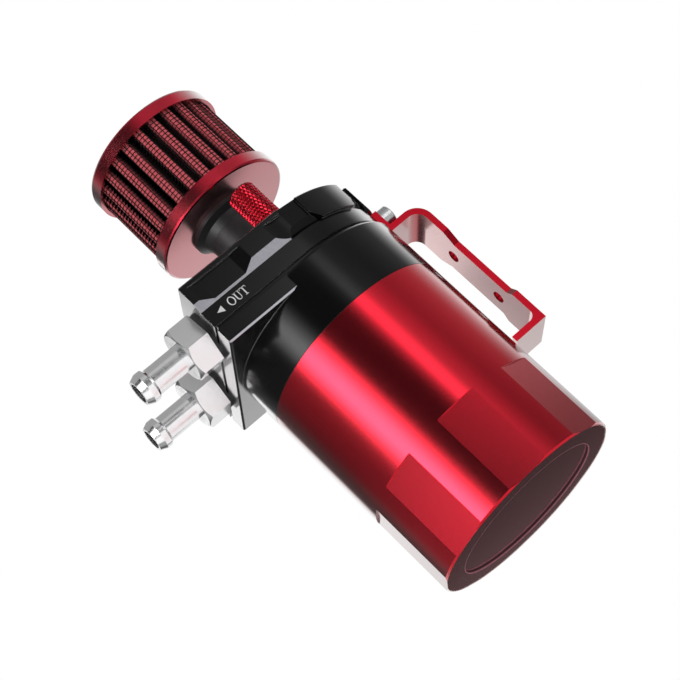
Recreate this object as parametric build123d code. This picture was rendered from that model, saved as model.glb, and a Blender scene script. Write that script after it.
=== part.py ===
from build123d import *
import math
import os

os.makedirs("parts", exist_ok=True)

# Sizes of the can
can_radius = 34.0
can_height = 73.2
can_wall = 5.0
can_floor = 5.0
can_edge_chamfer = 0.6
can_foot_width = 8.0
can_recess_depth = 0.8
can_neck_step = 2.4
can_neck_height = 9.0
flat_count = 8
flat_height = 29.5
flat_depth = 0.75
flat_turn = -5.0

# Sizes of the head
collar_height = 21.0
collar_chamfer = 1.0
collar_chamfer_step = 0.3
chamber_step = 3.5
ring_step = 1.36
ring_height = 7.3
groove_depth = 0.9
groove_height = 1.2
block_reach = 2.3
block_drop = 5.7
block_chamfer = 0.5
deck_height = 10.5
deck_undercut_height = 3.1
deck_chamfer = 0.5
roof_thickness = 7.0
waist_overhang = 0.35
waist_start = 13.4
waist_slope = 4.4
waist_length = 20.8
waist_top_band = 1.8
scallop_start = 3.8
scallop_radius = 13.6
notch_turn = 11.2
notch_step = 47.7
notch_width = 7.7
notch_depth = 1.4
notch_undercut_height = 3.4
notch_undercut_taper = 35.0

# Sizes of the breather
spigot_radius = 8.0
spigot_bore_radius = 5.5
spigot_length = 15.6
spigot_seat_depth = 5.0
neck_radius = 9.7
neck_top_wall = 2.6
neck_length = 23.8
neck_tail = 3.0
neck_collar_radius = 12.6
neck_collar_height = 1.4
neck_flare_radius = 10.7
neck_flare_height = 1.5
neck_flare_tail = 2.6
filter_radius = 24.7
filter_wall = 1.2
filter_base_height = 4.6
filter_gap_height = 27.4
filter_cap_height = 4.9
filter_plate = 1.5
filter_edge_chamfer = 0.8
filter_edge_step = 0.25
pleat_count = 24
pleat_depth = 3.6
core_radius = 18.0
core_wall = 0.8

# Sizes of the dipstick
stick_inset = 3.5
stick_turn = 7.9
knob_radius = 4.8
knob_height = 17.5
knob_chamfer = 0.6
stick_thread_radius = 2.5
stick_thread_length = 7.0
stick_radius = 1.25
stick_end_height = 9.0

# Sizes of the splash baffle
baffle_gap = 9.5
baffle_plate = 1.5
baffle_drop = 16.5
baffle_post_count = 3
baffle_post_inset = 4.0
baffle_post_radius = 2.5
baffle_stud_radius = 1.5
baffle_stud_length = 4.0
baffle_screw_head_radius = 2.75
baffle_screw_head_height = 1.8

# Sizes of the hose fittings
port_spread = 17.54
port_drop = 0.6
fitting_thread_radius = 5.0
fitting_thread_length = 9.0
fitting_bore_radius = 3.4
fitting_hex_sides = 6
fitting_hex_size = 17.0
fitting_hex_length = 8.5
fitting_hex_chamfer = 1.2
outlet_hex_turn = 13.0
inlet_hex_turn = 24.0
fitting_tail_radius = 4.45
fitting_tail_length = 17.0
fitting_bulge_radius = 5.3
fitting_bulge_length = 2.8
fitting_tip_radius = 4.3
fitting_tip_length = 2.2
port_seal_radius = 8.2
port_seal_thickness = 1.2
port_depth = 9.5

# Sizes of the bracket
plate = 2.2
bracket_width = 18.0
bracket_waist_width = 14.0
bracket_stand_off = 12.2
bracket_arch_radius = 6.2
bracket_leg_rise = 0.4
bracket_tab_height = 8.8
bracket_length = 56.3
bracket_foot_fillet = 2.4
bracket_tab_fillet = 0.4
bracket_hole_radius = 2.25
bracket_hole_drop = 18.8
bracket_hole_spacing = 20.0
bracket_waist_drop = 13.6
bracket_waist_length = 30.4
bracket_waist_slope_low = 2.4
bracket_waist_slope_high = 5.0
tab_screw_spread = 5.2
tab_screw_gap = 0.45
screw_radius = 2.0
screw_length = 6.2
screw_head_radius = 3.5
screw_head_height = 4.0
screw_socket_size = 3.0
screw_socket_depth = 2.0

# Seals and clearances
seal_thickness = 1.6
stick_seal_width = 1.4
seal_side_gap = 0.2
thread_clearance = 0.05
push_clearance = 0.05
seat_clearance = 0.4
foot_clearance = 0.8
screw_hole_clearance = 0.2

# Radii and reaches that follow from the can's radius
can_bore_radius = can_radius - can_wall
can_neck_radius = can_radius - can_neck_step
can_recess_radius = can_radius - can_foot_width
chamber_radius = can_bore_radius - chamber_step
ring_radius = can_radius - ring_step
deck_side = can_radius
waist_side = ring_radius + waist_overhang
block_front = can_radius + block_reach
stick_circle = chamber_radius - stick_inset
baffle_radius = chamber_radius - baffle_gap
baffle_post_circle = baffle_radius - baffle_post_inset
bracket_seat = can_radius - plate
bracket_reach = can_radius + bracket_stand_off

# Heights that follow from the sizes above
neck_top = can_height + can_neck_height
chamber_roof = neck_top + seal_thickness
collar_top = can_height + collar_height
block_bottom = collar_top - block_drop
ring_top = collar_top + ring_height
deck_top = ring_top + deck_height
roof_bottom = deck_top - roof_thickness
filter_bottom = deck_top + neck_length
filter_rim = filter_bottom + filter_base_height
filter_cap_bottom = filter_rim + filter_gap_height
filter_top = filter_cap_bottom + filter_cap_height
port_level = ring_top - port_drop
bracket_leg_height = collar_top + bracket_leg_rise
bracket_foot_height = bracket_leg_height - bracket_length
bracket_waist_high = bracket_leg_height - bracket_waist_drop
bracket_waist_low = bracket_waist_high - bracket_waist_length


def ring(inner, outer, low, high):
    """A plain round ring between two heights."""
    body = Pos(0, 0, low) * extrude(Circle(outer), high - low)
    return body - Pos(0, 0, low) * extrude(Circle(inner), high - low)


def disc(radius, low, high):
    """A plain round disc between two heights."""
    return Pos(0, 0, low) * extrude(Circle(radius), high - low)


def slab(x_low, x_high, y_low, y_high, low, high):
    """A rectangular block between the given limits."""
    size = (x_high - x_low, y_high - y_low, high - low)
    middle = ((x_low + x_high) / 2, (y_low + y_high) / 2, (low + high) / 2)
    return Pos(*middle) * Box(*size)


def turned(*points):
    """A solid of revolution from a profile of radius and height."""
    profile = make_face(Polyline(*[(r, 0, z) for r, z in points], close=True))
    return revolve(profile, Axis.Z)


# Can body, turned from bar with wrench flats milled into its lower half
can_body = disc(can_radius, 0, can_height)
can_body = chamfer(can_body.edges().group_by(Axis.Z)[0], can_edge_chamfer)
can_body += disc(can_neck_radius, can_height, neck_top)
can_body -= disc(can_bore_radius, can_floor, neck_top)
can_body -= disc(can_recess_radius, 0, can_recess_depth)
flat_tool = slab(can_radius - flat_depth, can_radius + 1, -can_radius, can_radius, -1, flat_height)
for index in range(flat_count):
    can_body -= Rot(0, 0, flat_turn - 90 + index * 360 / flat_count) * flat_tool
can_body = can_body.solids()[0]

# Can seal, a flat ring on the end of the neck
can_seal = ring(can_bore_radius + seal_side_gap, can_neck_radius - seal_side_gap, neck_top, chamber_roof)

# Head: collar and ring with the port block in front
collar = turned(
    (0, can_height),
    (can_radius, can_height),
    (can_radius, collar_top - collar_chamfer),
    (can_radius - collar_chamfer_step, collar_top - collar_chamfer_step),
    (can_radius - collar_chamfer, collar_top),
    (0, collar_top),
)
block_plan = Pos(-block_front / 2, 0) * Rectangle(block_front, 2 * ring_radius) + Circle(ring_radius)
lower_block = Pos(0, 0, block_bottom) * extrude(
    Pos(-block_front / 2, 0) * Rectangle(block_front, 2 * ring_radius), collar_top - block_bottom
)
lower_block = chamfer(lower_block.edges().group_by(Axis.Z)[0], block_chamfer)
band = Pos(0, 0, collar_top) * extrude(block_plan, ring_height)
groove_plan = block_plan - offset(block_plan, -groove_depth)
band -= Pos(0, 0, collar_top) * extrude(groove_plan, groove_height)

# Deck: a wider plate of the same plan, undercut along its straight sides
deck_plan = Pos(-block_front / 2, 0) * Rectangle(block_front, 2 * deck_side) + Circle(deck_side)
deck = Pos(0, 0, ring_top) * extrude(deck_plan, deck_height)
deck = chamfer(deck.edges().group_by(Axis.Z)[-1], deck_chamfer)
scallop_reach = math.sqrt(scallop_radius**2 - (scallop_radius - ring_step) ** 2)
scallop_x = scallop_reach - scallop_start
undercut_face = make_face(
    Polyline(
        (-block_front, -ring_radius, ring_top),
        (-block_front, -deck_side, ring_top),
        (-block_front, -deck_side, ring_top + deck_undercut_height),
        close=True,
    )
)
undercut_tool = extrude(undercut_face, block_front + scallop_x, dir=(1, 0, 0))

# Deck: waist pocket, scallop and grip notches on each side
pocket_height = deck_height - waist_top_band
waist_face = make_face(
    Polyline(
        (-waist_start, -deck_side),
        (-waist_start - waist_slope, -waist_side),
        (-waist_start - waist_length + waist_slope, -waist_side),
        (-waist_start - waist_length, -deck_side),
        (-waist_start - waist_length, -deck_side - ring_step),
        (-waist_start, -deck_side - ring_step),
        close=True,
    )
)
waist_tool = Pos(0, 0, ring_top) * extrude(waist_face, pocket_height)
scallop_tool = Pos(scallop_x, -ring_radius - scallop_radius, ring_top) * extrude(
    Circle(scallop_radius), pocket_height
)
notch_plan = Pos(deck_side, 0) * Rectangle(2 * notch_depth, notch_width)
notch_grow = notch_undercut_height * math.tan(math.radians(notch_undercut_taper))
notch_foot = Pos(deck_side, 0) * Rectangle(2 * (notch_depth + notch_grow), notch_width + 2 * notch_grow)
notch_tool = extrude(notch_plan, deck_height)
notch_tool += extrude(notch_foot, notch_undercut_height, taper=notch_undercut_taper)
notch_tool = Pos(0, 0, ring_top) * notch_tool
side_cuts = [undercut_tool, waist_tool, scallop_tool]
side_cuts.append(Rot(0, 0, notch_turn - 90) * notch_tool)
side_cuts.append(Rot(0, 0, notch_turn + notch_step - 90) * notch_tool)
for cut in side_cuts:
    deck -= cut
    deck -= mirror(cut, Plane.XZ)

# Head: bores, bracket seat and ports
head = collar + lower_block + band + deck
head -= disc(can_neck_radius + thread_clearance, can_height, chamber_roof)
head -= disc(chamber_radius, chamber_roof, roof_bottom)
head -= disc(spigot_radius + thread_clearance, deck_top - spigot_seat_depth, deck_top)
head -= disc(spigot_bore_radius, roof_bottom, deck_top)
stick_place = Rot(0, 0, stick_turn - 90) * Pos(stick_circle, 0, 0)
stick_seal_outer = stick_thread_radius + thread_clearance + stick_seal_width
head -= stick_place * disc(stick_thread_radius + thread_clearance, roof_bottom, deck_top)
head -= stick_place * disc(stick_seal_outer, deck_top - seal_thickness, deck_top)
post_places = PolarLocations(baffle_post_circle, baffle_post_count)
for place in post_places:
    head -= place * disc(baffle_stud_radius + thread_clearance, roof_bottom, roof_bottom + baffle_stud_length)
seat_half = bracket_width / 2 + seat_clearance
seat_floor = bracket_leg_height - plate - seat_clearance
head -= slab(bracket_seat, can_radius + 1, -seat_half, seat_half, seat_floor, ring_top)
screw_level = bracket_leg_height + screw_head_radius + tab_screw_gap
screw_hole = Pos(bracket_seat, 0, screw_level) * Rot(0, -90, 0) * Cylinder(
    screw_radius + thread_clearance, screw_length - plate, align=(Align.CENTER, Align.CENTER, Align.MIN)
)
head -= Pos(0, tab_screw_spread, 0) * screw_hole
head -= Pos(0, -tab_screw_spread, 0) * screw_hole
port_hole = Pos(-block_front, 0, port_level) * Rot(0, 90, 0) * Cylinder(
    fitting_thread_radius + thread_clearance, port_depth, align=(Align.CENTER, Align.CENTER, Align.MIN)
)
port_hole += Pos(-block_front, 0, port_level) * Rot(0, 90, 0) * Cylinder(
    fitting_bore_radius, block_front - port_spread, align=(Align.CENTER, Align.CENTER, Align.MIN)
)
head -= Pos(0, port_spread, 0) * port_hole
head -= Pos(0, -port_spread, 0) * port_hole
head = head.solids()[0]

# Breather spigot, screwed into the roof of the head
breather_spigot = ring(
    spigot_bore_radius, spigot_radius, deck_top - spigot_seat_depth, deck_top + spigot_length
)

# Rubber neck, moulded with a collar under the filter
collar_low = filter_bottom - neck_collar_height
flare_low = collar_low - neck_flare_height
filter_neck = turned(
    (spigot_radius + push_clearance, deck_top),
    (neck_radius, deck_top),
    (neck_radius, flare_low - neck_flare_tail),
    (neck_flare_radius, flare_low),
    (neck_collar_radius, collar_low),
    (neck_collar_radius, filter_bottom),
    (neck_radius, filter_bottom),
    (neck_radius, filter_bottom + neck_tail),
    (neck_radius - neck_top_wall, filter_bottom + neck_tail),
    (neck_radius - neck_top_wall, deck_top + spigot_length),
    (spigot_radius + push_clearance, deck_top + spigot_length),
)

# Filter base, a shallow dish with a rim round the pleats
filter_base = turned(
    (neck_radius + push_clearance, filter_bottom),
    (filter_radius - filter_edge_chamfer, filter_bottom),
    (filter_radius - filter_edge_step, filter_bottom + filter_edge_step),
    (filter_radius, filter_bottom + filter_edge_chamfer),
    (filter_radius, filter_rim),
    (filter_radius - filter_wall, filter_rim),
    (filter_radius - filter_wall, filter_bottom + filter_plate),
    (neck_radius + push_clearance, filter_bottom + filter_plate),
)

# Filter top cap, the same dish turned over
filter_top_cap = turned(
    (0, filter_top),
    (filter_radius - filter_edge_chamfer, filter_top),
    (filter_radius - filter_edge_step, filter_top - filter_edge_step),
    (filter_radius, filter_top - filter_edge_chamfer),
    (filter_radius, filter_cap_bottom),
    (filter_radius - filter_wall, filter_cap_bottom),
    (filter_radius - filter_wall, filter_top - filter_plate),
    (0, filter_top - filter_plate),
)

# Pleated gauze between base and top cap, standing on the core
media_low = filter_bottom + filter_plate
media_high = filter_top - filter_plate
pleat_outer = filter_radius - filter_wall - push_clearance
pleat_inner = pleat_outer - pleat_depth
pleat_step = 2 * math.pi / pleat_count
pleat_marks = ((-0.30, 0.86), (-0.14, 1.0), (0.14, 1.0), (0.30, 0.86), (0.5, 0.0))
pleat_points = []
for index in range(pleat_count):
    for turn, rise in pleat_marks:
        angle = (index + turn) * pleat_step
        reach = pleat_inner + rise * pleat_depth
        pleat_points.append((reach * math.cos(angle), reach * math.sin(angle)))
media_plan = make_face(Polyline(*pleat_points, close=True)) - Circle(core_radius + push_clearance)
filter_media = Pos(0, 0, media_low) * extrude(media_plan, media_high - media_low)
filter_media = filter_media.solids()[0]
filter_core = ring(core_radius - core_wall, core_radius, media_low, media_high)

# Dipstick: thumb knob, threaded rod and seal
knob = disc(knob_radius, deck_top, deck_top + knob_height)
knob = chamfer(knob.edges().filter_by(GeomType.CIRCLE), knob_chamfer)
knob -= disc(stick_radius + push_clearance, deck_top, deck_top + knob_height / 2)
dipstick_knob = stick_place * knob
rod = disc(stick_thread_radius, deck_top - stick_thread_length, deck_top)
rod += disc(stick_radius, stick_end_height, deck_top + knob_height / 2)
dipstick_rod = (stick_place * rod).solids()[0]
dipstick_seal = stick_place * ring(
    stick_thread_radius + thread_clearance + seal_side_gap / 2,
    stick_seal_outer - seal_side_gap / 2,
    deck_top - seal_thickness,
    deck_top,
)

# Splash baffle on three posts under the roof
baffle_top = roof_bottom - baffle_drop
baffle_bottom = baffle_top - baffle_plate
splash_baffle = disc(baffle_radius, baffle_bottom, baffle_top)
post = disc(baffle_post_radius, baffle_top, roof_bottom)
post += disc(baffle_stud_radius, roof_bottom, roof_bottom + baffle_stud_length)
post -= disc(baffle_stud_radius, baffle_top, baffle_top + baffle_stud_length)
baffle_screw = disc(baffle_screw_head_radius, baffle_bottom - baffle_screw_head_height, baffle_bottom)
baffle_screw += disc(baffle_stud_radius - thread_clearance, baffle_bottom, baffle_top + baffle_stud_length)
posts = []
baffle_screw_set = []
for place in post_places:
    splash_baffle -= place * disc(baffle_stud_radius, baffle_bottom, baffle_top)
    posts.append(place * post)
    baffle_screw_set.append(place * baffle_screw)
baffle_posts = Compound(children=posts)
baffle_screws = Compound(children=baffle_screw_set)

# Hose fittings: thread, hexagon and hose tail with a bulged tip
hex_low = port_seal_thickness
hex_high = hex_low + fitting_hex_length
tail_end = hex_high + fitting_tail_length
bulge_low = tail_end - fitting_tip_length - fitting_bulge_length
tail = turned(
    (0, -fitting_thread_length),
    (fitting_thread_radius, -fitting_thread_length),
    (fitting_thread_radius, hex_low),
    (fitting_tail_radius, hex_low),
    (fitting_tail_radius, bulge_low),
    (fitting_bulge_radius, bulge_low + fitting_bulge_radius - fitting_tail_radius),
    (fitting_bulge_radius, bulge_low + fitting_bulge_length),
    (fitting_tip_radius, tail_end),
    (0, tail_end),
)
nut = Pos(0, 0, hex_low) * extrude(
    RegularPolygon(fitting_hex_size / 2, fitting_hex_sides, major_radius=False), fitting_hex_length
)
hex_corner = fitting_hex_size / 2 / math.cos(math.pi / fitting_hex_sides)
nut = nut & turned(
    (0, hex_low),
    (hex_corner, hex_low),
    (hex_corner, hex_high - fitting_hex_chamfer),
    (fitting_hex_size / 2 - fitting_hex_chamfer / 4, hex_high),
    (0, hex_high),
)
tail_bore = disc(fitting_bore_radius, -fitting_thread_length, tail_end)
port_seal = ring(fitting_thread_radius + push_clearance, port_seal_radius, 0, port_seal_thickness)
outlet_place = Pos(-block_front, -port_spread, port_level) * Rot(0, -90, 0)
inlet_place = Pos(-block_front, port_spread, port_level) * Rot(0, -90, 0)
outlet_fitting = (outlet_place * (tail + Rot(0, 0, outlet_hex_turn) * nut - tail_bore)).solids()[0]
inlet_fitting = (inlet_place * (tail + Rot(0, 0, inlet_hex_turn) * nut - tail_bore)).solids()[0]
port_seals = Compound(children=[outlet_place * port_seal, inlet_place * port_seal])

# Bracket, one plate bent into a tab, an arch, a web and a foot
leg_low = bracket_leg_height - plate
arch_x = bracket_reach - bracket_arch_radius
arch_z = bracket_leg_height - bracket_arch_radius
arch_inner = bracket_arch_radius - plate
web_inner = bracket_reach - plate
foot_high = bracket_foot_height + plate
tab_outer = bracket_seat + plate
outline = Polyline(
    (bracket_reach, 0, arch_z),
    (bracket_reach, 0, bracket_foot_height),
    (can_radius / 2, 0, bracket_foot_height),
    (can_radius / 2, 0, foot_high),
    (web_inner, 0, foot_high),
    (web_inner, 0, arch_z),
)
half = math.sqrt(0.5)
arch_inside = ThreePointArc(
    (web_inner, 0, arch_z), (arch_x + arch_inner * half, 0, arch_z + arch_inner * half), (arch_x, 0, leg_low)
)
leg = Polyline(
    (arch_x, 0, leg_low),
    (bracket_seat, 0, leg_low),
    (bracket_seat, 0, leg_low + bracket_tab_height),
    (tab_outer, 0, leg_low + bracket_tab_height),
    (tab_outer, 0, bracket_leg_height),
    (arch_x, 0, bracket_leg_height),
)
arch_outside = ThreePointArc(
    (arch_x, 0, bracket_leg_height),
    (arch_x + bracket_arch_radius * half, 0, arch_z + bracket_arch_radius * half),
    (bracket_reach, 0, arch_z),
)
strip = make_face([*outline.edges(), arch_inside, *leg.edges(), arch_outside])
bracket = extrude(strip, bracket_width / 2, both=True)
inner_corner = bracket.edges().filter_by(Axis.Y)
inner_corner = inner_corner.sort_by_distance((web_inner, 0, foot_high))[0]
bracket = fillet(inner_corner, bracket_foot_fillet)
tab_corner = bracket.edges().filter_by(Axis.Y)
tab_corner = tab_corner.sort_by_distance((tab_outer, 0, bracket_leg_height))[0]
bracket = fillet(tab_corner, bracket_tab_fillet)
bracket -= disc(can_radius + foot_clearance, 0, collar_top - block_drop)
half_width = bracket_width / 2
half_waist = bracket_waist_width / 2
waist_cut = make_face(
    Polyline(
        (0, half_width, bracket_waist_low),
        (0, half_waist, bracket_waist_low + bracket_waist_slope_low),
        (0, half_waist, bracket_waist_high - bracket_waist_slope_high),
        (0, half_width, bracket_waist_high),
        close=True,
    )
)
waist_cut = Pos(arch_x, 0, 0) * extrude(waist_cut, bracket_arch_radius, dir=(1, 0, 0))
bracket -= waist_cut
bracket -= mirror(waist_cut, Plane.XZ)
web_hole = Pos(web_inner, 0, bracket_leg_height - bracket_hole_drop) * Rot(0, 90, 0) * Cylinder(
    bracket_hole_radius, 4 * plate
)
bracket -= web_hole
bracket -= Pos(0, 0, -bracket_hole_spacing) * web_hole
tab_hole = Pos(bracket_seat, 0, screw_level) * Rot(0, 90, 0) * Cylinder(
    screw_radius + screw_hole_clearance, 4 * plate
)
bracket -= Pos(0, tab_screw_spread, 0) * tab_hole
bracket -= Pos(0, -tab_screw_spread, 0) * tab_hole
bracket = bracket.solids()[0]

# Socket head screws through the tab
screw = disc(screw_head_radius, 0, screw_head_height)
screw = chamfer(screw.edges().group_by(Axis.Z)[-1], screw_radius / 6)
screw += disc(screw_radius, -screw_length, 0)
screw -= Pos(0, 0, screw_head_height - screw_socket_depth) * extrude(
    RegularPolygon(screw_socket_size / 2, 6, major_radius=False), screw_socket_depth
)
screw_place = Pos(tab_outer, 0, screw_level) * Rot(0, 90, 0)
bracket_screws = Compound(
    children=[
        Pos(0, tab_screw_spread, 0) * screw_place * screw,
        Pos(0, -tab_screw_spread, 0) * screw_place * screw,
    ]
)

# Every piece is written as its own file
pieces = {
    "head": head,
    "can_body": can_body,
    "can_seal": can_seal,
    "breather_spigot": breather_spigot,
    "filter_neck": filter_neck,
    "filter_base": filter_base,
    "filter_media": filter_media,
    "filter_core": filter_core,
    "filter_top_cap": filter_top_cap,
    "dipstick_knob": dipstick_knob,
    "dipstick_rod": dipstick_rod,
    "dipstick_seal": dipstick_seal,
    "splash_baffle": splash_baffle,
    "baffle_posts": baffle_posts,
    "baffle_screws": baffle_screws,
    "outlet_fitting": outlet_fitting,
    "inlet_fitting": inlet_fitting,
    "port_seals": port_seals,
    "bracket": bracket,
    "bracket_screws": bracket_screws,
}
for name, piece in pieces.items():
    export_step(piece, "parts/" + name + ".step")
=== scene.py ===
import math

import bmesh
import bpy
from mathutils import Matrix, Vector


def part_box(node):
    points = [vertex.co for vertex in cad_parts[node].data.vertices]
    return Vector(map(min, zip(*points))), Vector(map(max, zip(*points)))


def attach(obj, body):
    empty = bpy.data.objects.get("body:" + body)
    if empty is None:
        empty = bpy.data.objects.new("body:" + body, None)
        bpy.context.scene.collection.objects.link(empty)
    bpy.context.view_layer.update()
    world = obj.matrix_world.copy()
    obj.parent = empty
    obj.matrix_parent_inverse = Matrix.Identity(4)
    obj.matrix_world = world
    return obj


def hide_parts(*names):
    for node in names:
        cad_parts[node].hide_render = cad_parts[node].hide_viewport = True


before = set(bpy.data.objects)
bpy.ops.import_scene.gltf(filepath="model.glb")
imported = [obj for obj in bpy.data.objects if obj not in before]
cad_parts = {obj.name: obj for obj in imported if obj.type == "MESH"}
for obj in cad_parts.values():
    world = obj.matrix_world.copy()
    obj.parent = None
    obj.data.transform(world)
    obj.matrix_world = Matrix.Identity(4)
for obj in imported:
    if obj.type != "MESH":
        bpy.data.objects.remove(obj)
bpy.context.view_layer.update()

# Head: one aluminium billet, turned and milled, then anodised black with a fine satin face.
# The can screws into it from below, and the fittings, breather and bracket are fixed to it.
# Its edges are broken, and the undercut faces of its port block are cut after the finish.
noise_low, noise_high = 0.3, 0.7
edge_round = 0.0005
cut_lean_least, cut_lean_most = -0.32, -0.8
band_low, band_high = 0.0887, 0.1005
block_start = -0.0002
block_side = 0.032
mask_edge = 0.0001
streak_size = 0.00025
streak_lean = 0.6
streak_stretch = 0.12


def add_node(tree, kind, values=None, links=None, **settings):
    """A shader node with its settings, its input values and what its inputs are linked to."""
    node = tree.nodes.new("ShaderNode" + kind)
    for setting, value in settings.items():
        setattr(node, setting, value)
    for socket, value in (values or {}).items():
        node.inputs[socket].default_value = value
    for socket, output in (links or {}).items():
        tree.links.new(output, node.inputs[socket])
    return node


def add_span(tree, source, low, high, to_low=0.0, to_high=1.0, passage="LINEAR"):
    """Takes one span of an output to another span."""
    span = add_node(
        tree,
        "MapRange",
        {"From Min": low, "From Max": high, "To Min": to_low, "To Max": to_high},
        {"Value": source},
        interpolation_type=passage,
    )
    return span.outputs["Result"]


def add_ramp(tree, source, stops, passage="LINEAR"):
    """A ramp of colours, each stop a position and a colour."""
    ramp = add_node(tree, "ValToRGB", links={"Fac": source})
    ramp.color_ramp.interpolation = passage
    elements = ramp.color_ramp.elements
    while len(elements) < len(stops):
        elements.new(0.5)
    for element, (position, colour) in zip(elements, stops):
        element.position = position
    for element, (position, colour) in zip(elements, stops):
        element.color = (*colour, 1.0)
    return ramp.outputs["Color"]


def new_finish(name, colour, metal, rough):
    """A material with its Principled shader set to one even colour."""
    material = bpy.data.materials.new(name)
    material.use_nodes = True
    shader = material.node_tree.nodes["Principled BSDF"]
    shader.inputs["Base Color"].default_value = (*colour, 1.0)
    shader.inputs["Metallic"].default_value = metal
    shader.inputs["Roughness"].default_value = rough
    return material, shader


def add_grain(material, shader, size, rough, depth, stretch=(1.0, 1.0, 1.0)):
    """Cutter or blast marks: noise in the roughness and a shallow relief."""
    tree = material.node_tree
    coords = add_node(tree, "TexCoord")
    place = add_node(tree, "Mapping", {"Scale": stretch}, {"Vector": coords.outputs["Object"]})
    noise = add_node(
        tree, "TexNoise", {"Scale": 1.0 / size, "Detail": 4.0}, {"Vector": place.outputs["Vector"]}
    )
    marks = noise.outputs["Fac"]
    relief = add_node(tree, "Bump", {"Strength": 1.0, "Distance": depth}, {"Height": marks})
    dullness = add_span(tree, marks, noise_low, noise_high, *rough)
    tree.links.new(dullness, shader.inputs["Roughness"])
    tree.links.new(relief.outputs["Normal"], shader.inputs["Normal"])
    return marks


def lay_over(material, share, top):
    """Mixes one more shader over what the material has so far."""
    tree = material.node_tree
    surface = tree.nodes["Material Output"].inputs["Surface"]
    before = surface.links[0].from_socket
    mix = add_node(tree, "MixShader", links={"Fac": share, 1: before, 2: top.outputs["BSDF"]})
    tree.links.new(mix.outputs["Shader"], surface)


def add_glance(material, start, end, share, rough, tint=(0.93, 0.92, 0.92)):
    """A clear oxide skin: pale where the face is seen at a low angle."""
    tree = material.node_tree
    angle = add_node(tree, "LayerWeight")
    skin = add_node(
        tree, "BsdfPrincipled", {"Base Color": (*tint, 1.0), "Metallic": 1.0, "Roughness": rough}
    )
    pale = add_span(tree, angle.outputs["Facing"], start, end, 0.0, share, "SMOOTHSTEP")
    lay_over(material, pale, skin)


def round_edges(material, radius):
    """Broken edges: shading that turns over a sharp edge, so that it catches the light."""
    tree = material.node_tree
    edge = add_node(tree, "Bevel", {"Radius": radius}, samples=6)
    for node in tree.nodes:
        relief = node.bl_idname == "ShaderNodeBump"
        plain = node.bl_idname == "ShaderNodeBsdfPrincipled" and not node.inputs["Normal"].is_linked
        if relief or plain:
            tree.links.new(edge.outputs["Normal"], node.inputs["Normal"])


def add_cut_faces(material, rough):
    """Undercut faces on the sides of the block, which show bright, streaky metal."""
    tree = material.node_tree
    coords = add_node(tree, "TexCoord")
    tilt = add_node(tree, "SeparateXYZ", links={"Vector": coords.outputs["Normal"]})
    place = add_node(tree, "SeparateXYZ", links={"Vector": coords.outputs["Object"]})
    side = add_node(tree, "Math", links={0: place.outputs["Y"]}, operation="ABSOLUTE")
    white, black = (1.0, 1.0, 1.0), (0.0, 0.0, 0.0)
    heights = ((0.0, white), (band_low, black), (band_high, white))
    off_band = add_ramp(tree, place.outputs["Z"], heights, "CONSTANT")
    share = add_span(tree, tilt.outputs["Z"], cut_lean_least + 0.02, cut_lean_least)
    for mask in (
        add_span(tree, tilt.outputs["Z"], cut_lean_most - 0.05, cut_lean_most),
        add_span(tree, off_band, 0.4, 0.6),
        add_span(tree, place.outputs["X"], block_start + mask_edge, block_start),
        add_span(tree, side.outputs["Value"], block_side - mask_edge, block_side),
    ):
        both = add_node(tree, "Math", links={0: share, 1: mask}, operation="MULTIPLY")
        share = both.outputs["Value"]
    streak_place = add_node(
        tree,
        "Mapping",
        {"Rotation": (0.0, streak_lean, 0.0), "Scale": (1.0, 1.0, streak_stretch)},
        {"Vector": coords.outputs["Object"]},
    )
    streak = add_node(
        tree, "TexNoise", {"Scale": 1.0 / streak_size}, {"Vector": streak_place.outputs["Vector"]}
    )
    greys = ((noise_low, (0.42, 0.42, 0.46)), (noise_high, (0.56, 0.56, 0.61)))
    tone = add_ramp(tree, streak.outputs["Fac"], greys)
    metal = add_node(
        tree, "BsdfPrincipled", {"Metallic": 1.0, "Roughness": rough}, {"Base Color": tone}
    )
    lay_over(material, share, metal)


def dress(material, *nodes):
    """Gives CAD nodes their finish."""
    for node in nodes:
        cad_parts[node].material_slots[0].material = material


black_anodise, black_shader = new_finish("black_anodise", (0.002, 0.002, 0.0022), 0.0, 0.2)
black_shader.inputs["Specular IOR Level"].default_value = 0.19
add_grain(black_anodise, black_shader, size=0.0006, rough=(0.15, 0.19), depth=0.0000004)
add_glance(black_anodise, start=0.48, end=0.86, share=0.85, rough=0.17)
round_edges(black_anodise, edge_round)
add_cut_faces(black_anodise, rough=0.34)
dress(black_anodise, "head")

# Port words: an arrow and a word beside each hose port, laser marked through the black.
# They show the bare metal as a thin, pale grey mark, and the letters have small serifs.
letter_height = 0.00305
stem = 0.0004
hair = 0.00024
serif_width = 0.001
serif_reach = 0.0003
serif_rise = 0.00018
word_lift = 0.00003
band_side = 0.03264
word_foot = 0.09695
out_start, in_start = -0.0326, -0.0203
arrow = [(0.0, 0.00138), (0.0023, 0.00022), (0.0023, 0.00254)]
in_arrow_shift = 0.0098
word_grey, word_shader = new_finish("word_grey", (0.36, 0.36, 0.36), 0.0, 0.6)
add_grain(word_grey, word_shader, size=0.00015, rough=(0.5, 0.75), depth=0.000004)


def oval(middle, half_width, half_height, count=40):
    """A closed oval outline at half the height of the letters."""
    turns = [2 * math.pi * i / count for i in range(count)]
    return [
        (middle + half_width * math.cos(turn), letter_height / 2 + half_height * math.sin(turn))
        for turn in turns
    ]


def bowl(left, right, height, drop, count=16):
    """The points of a half oval that hangs between two stems, from left to right."""
    middle, reach = (left + right) / 2, (right - left) / 2
    turns = [math.pi + math.pi * step / count for step in range(1, count)]
    return [(middle + reach * math.cos(turn), height + drop * math.sin(turn)) for turn in turns]


def bar(left, right, low, high):
    """A four-sided stroke. A stroke is a list of outlines, the second one a hole."""
    return [[(left, low), (right, low), (right, high), (left, high)]]


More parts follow.
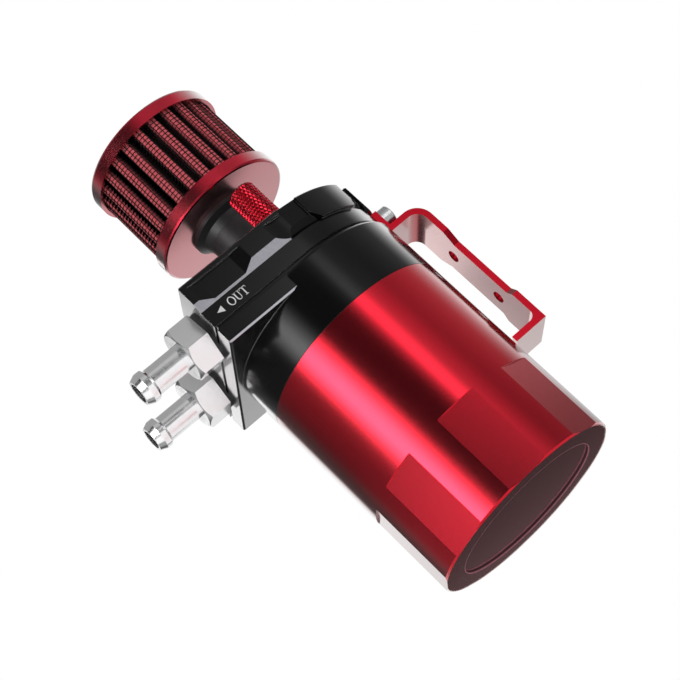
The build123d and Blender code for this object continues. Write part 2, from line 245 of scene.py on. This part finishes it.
def letter_o(x):
    half_width, half_height, swell = 0.00125, letter_height / 2, 0.00004
    outside = oval(x + half_width, half_width, half_height + swell)
    inside = oval(x + half_width, half_width - stem, half_height - hair)
    return [[outside, inside[::-1]]]


def letter_u(x):
    left, right, top, bend = x + 0.0004, x + 0.0021, letter_height, 0.0009
    inner_left, inner_right = left + stem, right - hair
    outline = [(left, top), (left, bend)]
    outline += bowl(left, right, bend, bend)
    outline += [(right, bend), (right, top), (inner_right, top), (inner_right, bend)]
    outline += bowl(inner_left, inner_right, bend, bend - hair)[::-1]
    outline += [(inner_left, bend), (inner_left, top)]
    return [
        [outline],
        bar(left - serif_reach, inner_left + serif_reach, top - serif_rise, top),
        bar(inner_right - serif_reach, right + serif_reach, top - serif_rise, top),
    ]


def letter_t(x):
    middle, end, top = x + 0.0012, x + 0.0024, letter_height
    tick, tick_drop = 0.00016, 0.0007
    return [
        bar(middle - stem / 2, middle + stem / 2, 0, top),
        bar(x, end, top - hair, top),
        bar(x, x + tick, top - tick_drop, top),
        bar(end - tick, end, top - tick_drop, top),
        bar(middle - serif_width / 2, middle + serif_width / 2, 0, serif_rise),
    ]


def letter_i(x):
    middle, top = x + serif_width / 2, letter_height
    return [
        bar(middle - stem / 2, middle + stem / 2, 0, top),
        bar(x, x + serif_width, top - serif_rise, top),
        bar(x, x + serif_width, 0, serif_rise),
    ]


def letter_n(x):
    left, right, top, overhang = x + 0.0004, x + 0.0026, letter_height, 0.0001
    return [
        bar(left, left + hair, 0, top),
        bar(right - hair, right, 0, top),
        [[(left - overhang, top), (right - stem, 0), (right, 0), (left + stem, top)]],
        bar(left - serif_reach, left + hair + serif_reach, 0, serif_rise),
        bar(right - hair - serif_reach, right + serif_reach, top - serif_rise, top),
    ]


def add_word(name, outlines, place):
    """Cuts flat outlines from a thin skin and lays them on the head."""
    flat = bpy.data.curves.new(name, "CURVE")
    flat.dimensions = "2D"
    flat.fill_mode = "BOTH"
    flat.extrude = word_lift / 2
    for outline in outlines:
        spline = flat.splines.new("POLY")
        spline.points.add(len(outline) - 1)
        for point, (x, y) in zip(spline.points, outline):
            point.co = (x, y, 0.0, 1.0)
        spline.use_cyclic_u = True
    holder = bpy.data.objects.new(name, flat)
    bpy.context.scene.collection.objects.link(holder)
    mesh = bpy.data.meshes.new_from_object(holder)
    bpy.data.objects.remove(holder)
    mesh.transform(place)
    mesh.materials.clear()
    mesh.materials.append(word_grey)
    word = bpy.data.objects.new(name, mesh)
    bpy.context.scene.collection.objects.link(word)
    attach(word, "head")


upright = Matrix.Rotation(math.radians(90), 4, "X")
half_turn = Matrix.Rotation(math.radians(180), 4, "Z")
out_place = Matrix.Translation((out_start, -band_side, word_foot)) @ upright
in_place = Matrix.Translation((in_start, band_side, word_foot)) @ half_turn @ upright
out_letters = ((letter_o, 0.0044), (letter_u, 0.007), (letter_t, 0.0095))
in_letters = ((letter_i, 0.004), (letter_n, 0.0054))
for word_name, letters, arrow_shift, word_place in (
    ("word_out", out_letters, 0.0, out_place),
    ("word_in", in_letters, in_arrow_shift, in_place),
):
    add_word(word_name + "_arrow", [[(x + arrow_shift, y) for x, y in arrow]], word_place)
    for letter_index, (draw, letter_start) in enumerate(letters):
        for stroke_index, stroke in enumerate(draw(letter_start)):
            add_word("%s_%d_%d" % (word_name, letter_index, stroke_index), stroke, word_place)

# Can: turned from bar, anodised red over a fine turned surface, with milled wrench flats.
# The dye leaves the metal's own gloss, so its highlights go pink and its shadows nearly black.
# Its base is recessed. A pale pink line painted round the mouth of the recess is a painted
# highlight on its turned edge, and the recess wall above it has a dim painted shade. A plain rubber
# ring seals its neck.
recess_radius = 0.026
recess_depth = 0.0008
# Half width of the pale line painted round the mouth of the base recess, a painted highlight.
painted_glint_width = 0.00014


def reach_from_axis(tree, point):
    """How far a point is from the upright axis."""
    flat = add_node(tree, "VectorMath", {1: (1.0, 1.0, 0.0)}, {0: point}, operation="MULTIPLY")
    reach = add_node(tree, "VectorMath", links={0: flat.outputs["Vector"]}, operation="LENGTH")
    return reach.outputs["Value"]


red_anodise, red_shader = new_finish("red_anodise", (0.6, 0.009, 0.025), 1.0, 0.19)
red_shader.inputs["Coat Weight"].default_value = 0.3
red_shader.inputs["Coat Roughness"].default_value = 0.3
add_grain(
    red_anodise,
    red_shader,
    size=0.0004,
    rough=(0.17, 0.21),
    depth=0.0000002,
    stretch=(0.2, 0.2, 1.0),
)
add_glance(red_anodise, start=0.44, end=1.0, share=1.0, rough=0.12)
can_tree = red_anodise.node_tree
can_point = add_node(can_tree, "TexCoord").outputs["Object"]
can_level = add_node(can_tree, "SeparateXYZ", links={"Vector": can_point}).outputs["Z"]
# Painted highlight and shade: a pale pink line round the mouth of the base recess, and a dim brown
# tone on the recess wall above it.
at_edge = add_node(
    can_tree,
    "Math",
    {1: recess_radius, 2: painted_glint_width},
    {0: reach_from_axis(can_tree, can_point)},
    operation="COMPARE",
)
in_recess = add_node(can_tree, "Math", {1: recess_depth}, {0: can_level}, operation="LESS_THAN")
painted_glint_mask = add_node(
    can_tree,
    "Math",
    links={0: at_edge.outputs["Value"], 1: in_recess.outputs["Value"]},
    operation="MULTIPLY",
)
painted_glint_tone = add_ramp(
    can_tree,
    add_span(can_tree, can_level, 0.0, recess_depth),
    ((0.4, (0.95, 0.36, 0.46)), (0.55, (0.16, 0.07, 0.078))),
)
painted_glint_shader = add_node(can_tree, "BsdfPrincipled", {"Roughness": 0.45}, {"Base Color": painted_glint_tone})
lay_over(red_anodise, painted_glint_mask.outputs["Value"], painted_glint_shader)
dress(red_anodise, "can_body")

black_rubber, rubber_shader = new_finish("black_rubber", (0.014, 0.014, 0.015), 0.0, 0.4)
add_grain(black_rubber, rubber_shader, size=0.0005, rough=(0.34, 0.5), depth=0.000006)
dress(black_rubber, "can_seal", "dipstick_seal", "port_seals", "filter_neck")

# Breather filter: pressed caps lacquered red, on a moulded rubber neck that pushes on a spigot.
# Between the caps stands pleated red cotton gauze, oiled, on a plain core tube. Its colour is
# painted darker down into the pleat valleys, as painted shade.
# A black wire mesh is folded with the gauze and keeps its pleats apart.
pleats = 24
pleat_turn = 2 * math.pi / pleats
crest_radius = 0.0231
crest_share = 0.16
flank_share = 0.31
pleat_depth = 0.0035
core_wall_radius = 0.01807
# Where the painted shade in the pleat valleys starts and is darkest, as shares of the pleat depth.
valley_shade_from, valley_shade_to = 0.5, 0.04
gauze_low, gauze_high = (corner.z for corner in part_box("filter_media"))
gauze_steps = pleats * 16
wire = 0.0002
wire_rise = 0.00138
wire_margin = 0.0004
wire_steps = pleats * 10
wires_each_pleat = 7
wire_start = 0.02
wire_stand = 0.75
trace_steps = 400

red_lacquer, lacquer_shader = new_finish("red_lacquer", (0.6, 0.014, 0.04), 1.0, 0.24)
lacquer_shader.inputs["Coat Weight"].default_value = 0.4
lacquer_shader.inputs["Coat Roughness"].default_value = 0.4
add_grain(red_lacquer, lacquer_shader, size=0.0012, rough=(0.17, 0.21), depth=0.0000001)
add_glance(red_lacquer, start=0.36, end=0.92, share=0.95, rough=0.22)
dress(red_lacquer, "filter_base", "filter_top_cap")

bare_aluminium, bare_shader = new_finish("bare_aluminium", (0.9, 0.9, 0.91), 1.0, 0.22)
add_grain(
    bare_aluminium,
    bare_shader,
    size=0.0003,
    rough=(0.17, 0.24),
    depth=0.0000006,
    stretch=(1.0, 0.1, 0.1),
)
dress(bare_aluminium, "breather_spigot", "filter_core", "splash_baffle", "baffle_posts")


def pleat_radius(angle):
    """How far out the folded gauze stands at an angle round the filter."""
    share = abs((angle / pleat_turn + 0.5) % 1.0 - 0.5)
    drop = min(1.0, max(0.0, (share - crest_share) / flank_share))
    return crest_radius - pleat_depth * drop * drop * (3 - 2 * drop)


def fold_loop(bm, steps, height, push):
    """A closed ring of vertices that follows the pleats at one height."""
    ring = bmesh.ops.create_circle(bm, segments=steps, radius=1.0)["verts"]
    for vert in ring:
        angle = math.atan2(vert.co.y, vert.co.x)
        reach = pleat_radius(angle) + push
        vert.co = (reach * math.cos(angle), reach * math.sin(angle), height)
    return ring


def edges_of(ring):
    """The edges that join the vertices of one ring."""
    inside = set(ring)
    edges = {edge for vert in ring for edge in vert.link_edges}
    return [edge for edge in edges if edge.verts[0] in inside and edge.verts[1] in inside]


def bridge_rings(bm, rings):
    """Skins each ring to the next one."""
    for first, second in zip(rings, rings[1:]):
        bmesh.ops.bridge_loops(bm, edges=edges_of(first) + edges_of(second))


def put_piece(name, bm, material, body, smooth_turn=None):
    """Turns a finished bmesh into a piece that rides a body."""
    mesh = bpy.data.meshes.new(name)
    bm.to_mesh(mesh)
    bm.free()
    mesh.materials.append(material)
    if smooth_turn is not None:
        mesh.shade_smooth()
        mesh.set_sharp_from_angle(angle=math.radians(smooth_turn))
    piece = bpy.data.objects.new(name, mesh)
    bpy.context.scene.collection.objects.link(piece)
    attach(piece, body)
    return piece


gauze = bmesh.new()
low_fold = fold_loop(gauze, gauze_steps, gauze_low, 0.0)
high_fold = fold_loop(gauze, gauze_steps, gauze_high, 0.0)
low_core = bmesh.ops.create_circle(gauze, segments=gauze_steps, radius=core_wall_radius)["verts"]
high_core = bmesh.ops.create_circle(gauze, segments=gauze_steps, radius=core_wall_radius)["verts"]
bmesh.ops.translate(gauze, verts=low_core, vec=(0, 0, gauze_low))
bmesh.ops.translate(gauze, verts=high_core, vec=(0, 0, gauze_high))
bridge_rings(gauze, [low_fold, high_fold, high_core, low_core, low_fold])
bmesh.ops.recalc_face_normals(gauze, faces=gauze.faces)

red_gauze, gauze_shader = new_finish("red_gauze", (0.3, 0.045, 0.055), 0.0, 0.8)
gauze_marks = add_grain(red_gauze, gauze_shader, size=0.00035, rough=(0.7, 0.9), depth=0.00005)
gauze_tree = red_gauze.node_tree
gauze_point = add_node(gauze_tree, "TexCoord").outputs["Object"]
gauze_reds = ((noise_low, (0.25, 0.03, 0.038)), (noise_high, (0.42, 0.062, 0.075)))
gauze_tint = add_ramp(gauze_tree, gauze_marks, gauze_reds)
# Painted shade: the gauze colour darkens towards the bottom of each pleat valley, where the folds
# shade it.
gauze_valley_shade = add_span(
    gauze_tree,
    reach_from_axis(gauze_tree, gauze_point),
    crest_radius - pleat_depth * valley_shade_from,
    crest_radius - pleat_depth * valley_shade_to,
    to_low=0.03,
    passage="SMOOTHSTEP",
)
gauze_colour = add_node(
    gauze_tree, "VectorMath", links={"Vector": gauze_tint, "Scale": gauze_valley_shade}, operation="SCALE"
)
gauze_tree.links.new(gauze_colour.outputs["Vector"], gauze_shader.inputs["Base Color"])
gauze_piece = put_piece("filter_gauze", gauze, red_gauze, "filter", 60)
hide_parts("filter_media")

mesh_wire = bmesh.new()
loops = [
    fold_loop(mesh_wire, wire_steps, gauze_low + wire_margin + rise, push)
    for push, rise in ((0.0, 0.0), (wire, 0.0), (wire, wire), (0.0, wire))
]
bridge_rings(mesh_wire, loops + loops[:1])
bmesh.ops.recalc_face_normals(mesh_wire, faces=mesh_wire.faces)
one_ring = mesh_wire.verts[:] + mesh_wire.edges[:] + mesh_wire.faces[:]
ring_count = int((gauze_high - gauze_low - 2 * wire_margin) / wire_rise)
for index in range(1, ring_count):
    copy = bmesh.ops.duplicate(mesh_wire, geom=one_ring)["geom"]
    moved = [item for item in copy if isinstance(item, bmesh.types.BMVert)]
    bmesh.ops.translate(mesh_wire, verts=moved, vec=(0, 0, index * wire_rise))

trace = []
for index in range(trace_steps + 1):
    angle = pleat_turn * index / trace_steps
    reach = pleat_radius(angle)
    trace.append(Vector((reach * math.cos(angle), reach * math.sin(angle), 0)))
lengths = [0.0]
for start, end in zip(trace, trace[1:]):
    lengths.append(lengths[-1] + (end - start).length)
wire_size = Matrix.Diagonal((wire, wire, gauze_high - gauze_low - wire_margin, 1.0))
for mark in range(wires_each_pleat):
    goal = lengths[-1] * (mark + wire_start) / wires_each_pleat
    index = next(i for i in range(trace_steps) if lengths[i + 1] >= goal)
    along = (trace[index + 1] - trace[index]).normalized()
    outward = Vector((along.y, -along.x, 0))
    foot = trace[index] + outward * wire * wire_stand
    stand = Matrix.Translation((foot.x, foot.y, (gauze_low + gauze_high) / 2))
    stand = stand @ Matrix.Rotation(math.atan2(along.y, along.x), 4, "Z")
    for pleat in range(pleats):
        turn = Matrix.Rotation(pleat * pleat_turn, 4, "Z")
        bmesh.ops.create_cube(mesh_wire, size=1.0, matrix=turn @ stand @ wire_size)
wire_black, wire_shader = new_finish("wire_black", (0.004, 0.004, 0.004), 0.0, 0.6)
wire_shader.inputs["Specular IOR Level"].default_value = 0.15
add_grain(wire_black, wire_shader, size=0.0002, rough=(0.5, 0.7), depth=0.000004)
put_piece("filter_wire", mesh_wire, wire_black, "filter")

# Dipstick: a thumb knob turned from bar, diamond knurled and anodised red, on a plain steel rod.
# The rod screws into the head beside the breather and reaches down into the oil.
knob_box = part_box("dipstick_knob")
knob_middle = (knob_box[0] + knob_box[1]) / 2
knob_radius = (knob_box[1].x - knob_box[0].x) / 2
knob_height = knob_box[1].z - knob_box[0].z
knob_edge = 0.0006
knurls_round = 26
knurl_rise = 0.0012
knurl_depth = 0.00038
knurl_land = 0.4
knob_steps = knurls_round * 6
knob_rows = 96
knob = bmesh.new()
knurl_height = knob_height - 2 * knob_edge
levels = [knob_edge + knurl_height * i / knob_rows for i in range(knob_rows + 1)]
rows = []
for level in [0.0] + levels + [knob_height]:
    row = bmesh.ops.create_circle(knob, segments=knob_steps, radius=1.0)["verts"]
    end = level in (0.0, knob_height)
    for vert in row:
        angle = math.atan2(vert.co.y, vert.co.x)
        across = angle * knurls_round / (2 * math.pi)
        climb = level / (2 * knurl_rise)
        one = abs(2 * ((across + climb) % 1.0) - 1)
        other = abs(2 * ((across - climb) % 1.0) - 1)
        cut = max(0.0, max(one, other) - knurl_land) / (1 - knurl_land)
        reach = knob_radius - knob_edge if end else knob_radius - knurl_depth * cut
        vert.co = (
            knob_middle.x + reach * math.cos(angle),
            knob_middle.y + reach * math.sin(angle),
            knob_box[0].z + level,
        )
    rows.append(row)
bridge_rings(knob, rows)
bmesh.ops.contextual_create(knob, geom=edges_of(rows[0]))
bmesh.ops.contextual_create(knob, geom=edges_of(rows[-1]))
bmesh.ops.recalc_face_normals(knob, faces=knob.faces)
knob_red, knob_shader = new_finish("knob_red", (0.42, 0.012, 0.024), 1.0, 0.24)
add_grain(knob_red, knob_shader, size=0.0004, rough=(0.2, 0.28), depth=0.000002)
add_glance(knob_red, start=0.35, end=0.95, share=0.8, rough=0.24)
knob_piece = put_piece("dipstick_grip", knob, knob_red, "dipstick", 20)
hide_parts("dipstick_knob")

zinc_steel, zinc_shader = new_finish("zinc_steel", (0.6, 0.6, 0.61), 1.0, 0.3)
add_grain(zinc_steel, zinc_shader, size=0.0004, rough=(0.24, 0.36), depth=0.000003)
dress(zinc_steel, "dipstick_rod", "baffle_screws")

# Hose fittings: turned from hexagon bar and left as bare aluminium, each with a flat rubber seal.
# The hose pushes over the bulge at the end of the tail and a clip holds it there.
dress(bare_aluminium, "outlet_fitting", "inlet_fitting")

# Bracket: one aluminium plate, cut out, bent twice and anodised a deep red over its sawn edges.
# Two socket head screws hold its tab to the head, and its web has the holes that bolt to a panel.
bracket_red, bracket_shader = new_finish("bracket_red", (0.38, 0.008, 0.018), 1.0, 0.22)
add_grain(bracket_red, bracket_shader, size=0.0005, rough=(0.18, 0.3), depth=0.000002)
add_glance(bracket_red, start=0.42, end=0.8, share=1.0, rough=0.2, tint=(0.97, 0.8, 0.79))
dress(bracket_red, "bracket")
dress(zinc_steel, "bracket_screws")

# Stage: a pale floor that the can stands on, open under the can, and a soft light tent.
# The tent's panels are bright and dark by turns, so that round metal shows clear stripes.
# The tent, its roof, the cards and the cloths on the floor only show in reflections.
floor_radius = 3.0
floor_drop = 0.0002
floor_mouth = 0.033
floor_fade_start, floor_fade_end = 0.4, 1.1
tent_radius = 0.45
tent_height = 0.56
tent_gain = 9.0
cloth_inside = 0.1
cloth_lift = 0.003
cloth_start, cloth_turn = math.radians(35), math.radians(225)
apron_inside = 0.2
apron_lift = 0.002
under_reach = 6.0
under_depth = 0.2
under_aim = (-0.15, 0.989, 0.0)


def new_stage(name, bm, material):
    """A piece of the studio, which isn't part of the object."""
    mesh = bpy.data.meshes.new(name)
    bm.to_mesh(mesh)
    bm.free()
    mesh.materials.append(material)
    made = bpy.data.objects.new(name, mesh)
    bpy.context.scene.collection.objects.link(made)
    return made


def flat_ring(outside, inside, height):
    """A flat ring round the upright axis."""
    ring = bmesh.new()
    rims = [
        bmesh.ops.create_circle(ring, segments=96, radius=radius)["verts"]
        for radius in (outside, inside)
    ]
    bridge_rings(ring, rims)
    bmesh.ops.translate(ring, verts=ring.verts, vec=(0, 0, height))
    return ring


floor_white = new_finish("floor_white", (0.85, 0.85, 0.85), 0.0, 0.9)[0]
floor_tree = floor_white.node_tree
floor_point = add_node(floor_tree, "TexCoord").outputs["Object"]
floor_reach = add_node(floor_tree, "VectorMath", links={0: floor_point}, operation="LENGTH")
floor_fade = add_span(
    floor_tree,
    floor_reach.outputs["Value"],
    floor_fade_start,
    floor_fade_end,
    passage="SMOOTHSTEP",
)
floor_below = add_node(floor_tree, "NewGeometry").outputs["Backfacing"]
floor_open = add_node(
    floor_tree, "Math", links={0: floor_fade, 1: floor_below}, operation="MAXIMUM"
)
lay_over(floor_white, floor_open.outputs["Value"], add_node(floor_tree, "BsdfTransparent"))
floor = flat_ring(floor_radius, floor_mouth, -floor_drop)
bmesh.ops.recalc_face_normals(floor, faces=floor.faces)
for face in floor.faces:
    if face.normal.z < 0:
        face.normal_flip()
new_stage("floor", floor, floor_white)


def hide_from_all_but_gloss(panel):
    """A panel that only shows in reflections."""
    panel.visible_camera = False
    panel.visible_diffuse = False
    panel.visible_shadow = False
    panel.visible_transmission = False
    panel.visible_volume_scatter = False


def new_glow(name, level=1.0, tint=(1.0, 1.0, 1.0)):
    """An even glow for a plain panel."""
    material = bpy.data.materials.new(name)
    material.use_nodes = True
    tree = material.node_tree
    tree.nodes.remove(tree.nodes["Principled BSDF"])
    glow = add_node(tree, "Emission", {"Color": (*tint, 1.0), "Strength": level})
    tree.links.new(glow.outputs["Emission"], tree.nodes["Material Output"].inputs["Surface"])
    return material


low_panels = (
    (-180, 0.9), (-170, 0.85), (-161, 0.06), (-142, 0.1), (-126, 0.36), (-110, 0.33), (-94, 0.3),
    (-84, 0.6), (-75, 1.4), (-67, 6.0), (-60, 9.0), (-52, 9.0), (-44, 4.0), (-37, 0.7), (-30, 0.05),
    (2, 0.06), (11, 0.35), (17, 2.8), (22, 2.2), (29, 0.7), (54, 0.25), (78, 0.35), (96, 0.2),
    (120, 0.4), (160, 0.7), (180, 0.9),
)
middle_panels = (
    (-180, 1.0), (-166, 0.9), (-158, 0.06), (-142, 0.07), (-126, 0.12), (-94, 0.24), (-82, 0.25),
    (-75, 0.8), (-66, 6.0), (-60, 9.5), (-53, 9.0), (-45, 4.4), (-37, 1.0), (-31, 0.06), (2, 0.06),
    (11, 0.6), (17, 2.8), (22, 2.3), (30, 0.8), (52, 0.36), (78, 0.52), (102, 0.64), (122, 1.0),
    (140, 0.6), (168, 0.8), (180, 0.9),
)
high_panels = (
    (-180, 0.5), (-168, 0.15), (-154, 0.07), (-140, 0.07), (-130, 0.25), (-120, 0.45), (-108, 0.2),
    (-94, 0.07), (-78, 0.12), (-60, 0.22), (-46, 0.1), (-30, 0.06), (-16, 0.1), (-4, 0.35),
    (8, 0.55), (24, 0.52), (40, 0.45), (56, 0.5), (72, 0.62), (100, 0.6), (118, 0.8), (150, 1.0),
    (180, 0.5),
)
tent_cloth = new_glow("tent_cloth", tent_gain)
tent_tree = tent_cloth.node_tree
tent_point = add_node(tent_tree, "TexCoord").outputs["Object"]
tent_split = add_node(tent_tree, "SeparateXYZ", links={"Vector": tent_point})
tent_front = add_node(
    tent_tree, "Math", {1: -1.0}, {0: tent_split.outputs["Y"]}, operation="MULTIPLY"
)
tent_angle = add_node(
    tent_tree,
    "Math",
    links={0: tent_split.outputs["X"], 1: tent_front.outputs["Value"]},
    operation="ARCTAN2",
)
tent_way = add_span(tent_tree, tent_angle.outputs["Value"], -math.pi, math.pi)


def panel_row(panels):
    """One row of tent panels, each an angle in degrees and a level, as a ramp round the tent."""
    stops = [((turn + 180) / 360, (level / tent_gain,) * 3) for turn, level in panels]
    return add_ramp(tent_tree, tent_way, stops)


def blend_rows(lower, upper, start, end):
    """Passes from one row to the next between two heights."""
    climb = add_span(tent_tree, tent_split.outputs["Z"], start, end)
    mix = add_node(tent_tree, "Mix", links={0: climb, 6: lower, 7: upper}, data_type="RGBA")
    return mix.outputs[2]


wall_rows = blend_rows(panel_row(low_panels), panel_row(middle_panels), start=0.1, end=0.17)
wall_rows = blend_rows(wall_rows, panel_row(high_panels), start=0.245, end=0.3)
tent_tree.links.new(wall_rows, tent_tree.nodes["Emission"].inputs["Color"])
tent = bmesh.new()
bmesh.ops.create_cone(
    tent, cap_ends=False, segments=180, radius1=tent_radius, radius2=tent_radius, depth=tent_height
)
bmesh.ops.translate(tent, verts=tent.verts, vec=(0, 0, tent_height / 2))
hide_from_all_but_gloss(new_stage("light_tent", tent, tent_cloth))

floor_cloth = bmesh.new()
cloth_way = Vector((math.sin(cloth_start), -math.cos(cloth_start), 0))
cloth_edge = [
    floor_cloth.verts.new(cloth_way * reach + Vector((0, 0, cloth_lift)))
    for reach in (cloth_inside, tent_radius)
]
cloth_edge.append(floor_cloth.edges.new(cloth_edge))
bmesh.ops.spin(
    floor_cloth, geom=cloth_edge, cent=(0, 0, 0), axis=(0, 0, 1), angle=cloth_turn, steps=140
)
hide_from_all_but_gloss(new_stage("floor_cloth", floor_cloth, tent_cloth))

roof = bmesh.new()
bmesh.ops.create_circle(roof, cap_ends=True, segments=64, radius=tent_radius)
bmesh.ops.translate(roof, verts=roof.verts, vec=(0, 0, tent_height))
hide_from_all_but_gloss(new_stage("tent_roof", roof, new_glow("roof_cloth", 0.36)))


def hang_card(name, width, height, place, turn, cloth):
    """An upright card, turned about the can's axis once it is in its place."""
    card = bmesh.new()
    bmesh.ops.create_grid(card, x_segments=1, y_segments=1, size=0.5)
    bmesh.ops.scale(card, verts=card.verts, vec=(width, height, 1.0))
    bmesh.ops.rotate(card, verts=card.verts, matrix=Matrix.Rotation(math.radians(90), 3, "X"))
    bmesh.ops.translate(card, verts=card.verts, vec=place)
    bmesh.ops.rotate(card, verts=card.verts, matrix=Matrix.Rotation(math.radians(turn), 3, "Z"))
    hide_from_all_but_gloss(new_stage(name, card, cloth))


hang_card("side_card", 0.14, 0.13, (-0.13, 0.42, 0.285), 0, new_glow("side_cloth", 1.25))
hang_card("dark_flag", 0.42, 0.16, (0, -0.4, 0.455), -66, new_glow("flag_cloth", 0.03))

apron = flat_ring(tent_radius, apron_inside, apron_lift)
bmesh.ops.bisect_plane(
    apron,
    geom=apron.verts[:] + apron.edges[:] + apron.faces[:],
    plane_co=(0, 0, 0),
    plane_no=(0, 1, 0),
    clear_outer=True,
)
hide_from_all_but_gloss(new_stage("front_apron", apron, new_glow("apron_cloth", 0.35)))

under_cloth = new_glow("under_cloth", tint=(1.0, 0.62, 0.65))
under_tree = under_cloth.node_tree
under_way = add_node(
    under_tree,
    "VectorMath",
    {1: under_aim},
    {0: add_node(under_tree, "TexCoord").outputs["Object"]},
    operation="DOT_PRODUCT",
)
under_level = add_span(
    under_tree, under_way.outputs["Value"], 0.8, 1.02, 0.038, 0.15, passage="SMOOTHSTEP"
)
under_tree.links.new(under_level, under_tree.nodes["Emission"].inputs["Strength"])
under = bmesh.new()
bmesh.ops.create_grid(under, x_segments=1, y_segments=1, size=under_reach)
bmesh.ops.translate(under, verts=under.verts, vec=(0, 0, -under_depth))
hide_from_all_but_gloss(new_stage("under_card", under, under_cloth))

world = bpy.data.worlds.new("studio")
bpy.context.scene.world = world
world.use_nodes = True
sky_tree = world.node_tree
sky = sky_tree.nodes["Background"]
sky.inputs["Color"].default_value = (1.0, 1.0, 1.0, 1.0)
rays = add_node(sky_tree, "LightPath")
seen = rays.outputs["Is Camera Ray"]
for ray in ("Is Glossy Ray", "Is Transmission Ray"):
    either = add_node(sky_tree, "Math", links={0: seen, 1: rays.outputs[ray]}, operation="MAXIMUM")
    seen = either.outputs["Value"]
sky_tree.links.new(add_span(sky_tree, seen, 0.0, 1.0, 0.45, 1.0), sky.inputs["Strength"])


def add_lamp(name, place, size, power):
    """A soft box aimed at the can, which lights but doesn't show in reflections."""
    aim = Vector((0, 0, 0.09))
    light = bpy.data.lights.new(name, "AREA")
    light.shape = "SQUARE"
    light.size = size
    light.energy = power
    lamp = bpy.data.objects.new(name, light)
    bpy.context.scene.collection.objects.link(lamp)
    lamp.location = place
    lamp.rotation_euler = (aim - Vector(place)).to_track_quat("-Z", "Y").to_euler()
    lamp.visible_glossy = False


add_lamp("key_lamp", (-0.9, -1.3, 1.2), size=0.9, power=32.0)
add_lamp("fill_lamp", (1.3, -0.9, 0.8), size=0.9, power=12.0)
add_lamp("back_lamp", (0.4, 1.5, 1.3), size=1.0, power=14.0)

camera_place = (-0.169016, -0.521486, -0.113553)
look_turn = math.radians(-17.7434)
look_rise = math.radians(-19.39)
look_roll = math.radians(-46.3953)
camera_data = bpy.data.cameras.new("camera")
camera_data.sensor_width = 36.0
camera_data.lens = 99.04
camera_data.clip_start = 0.05
camera_data.clip_end = 20.0
camera = bpy.data.objects.new("camera", camera_data)
bpy.context.scene.collection.objects.link(camera)
back = Vector(
    (
        math.sin(look_turn) * math.cos(look_rise),
        -math.cos(look_turn) * math.cos(look_rise),
        math.sin(look_rise),
    )
)
level_right = Vector((math.cos(look_turn), math.sin(look_turn), 0.0))
level_up = back.cross(level_right)
right = level_right * math.cos(look_roll) + level_up * math.sin(look_roll)
up = level_up * math.cos(look_roll) - level_right * math.sin(look_roll)
camera_axes = Matrix((right, up, back)).transposed().to_4x4()
camera.matrix_world = Matrix.Translation(camera_place) @ camera_axes
bpy.context.scene.camera = camera
bpy.context.scene.view_settings.view_transform = "Standard"
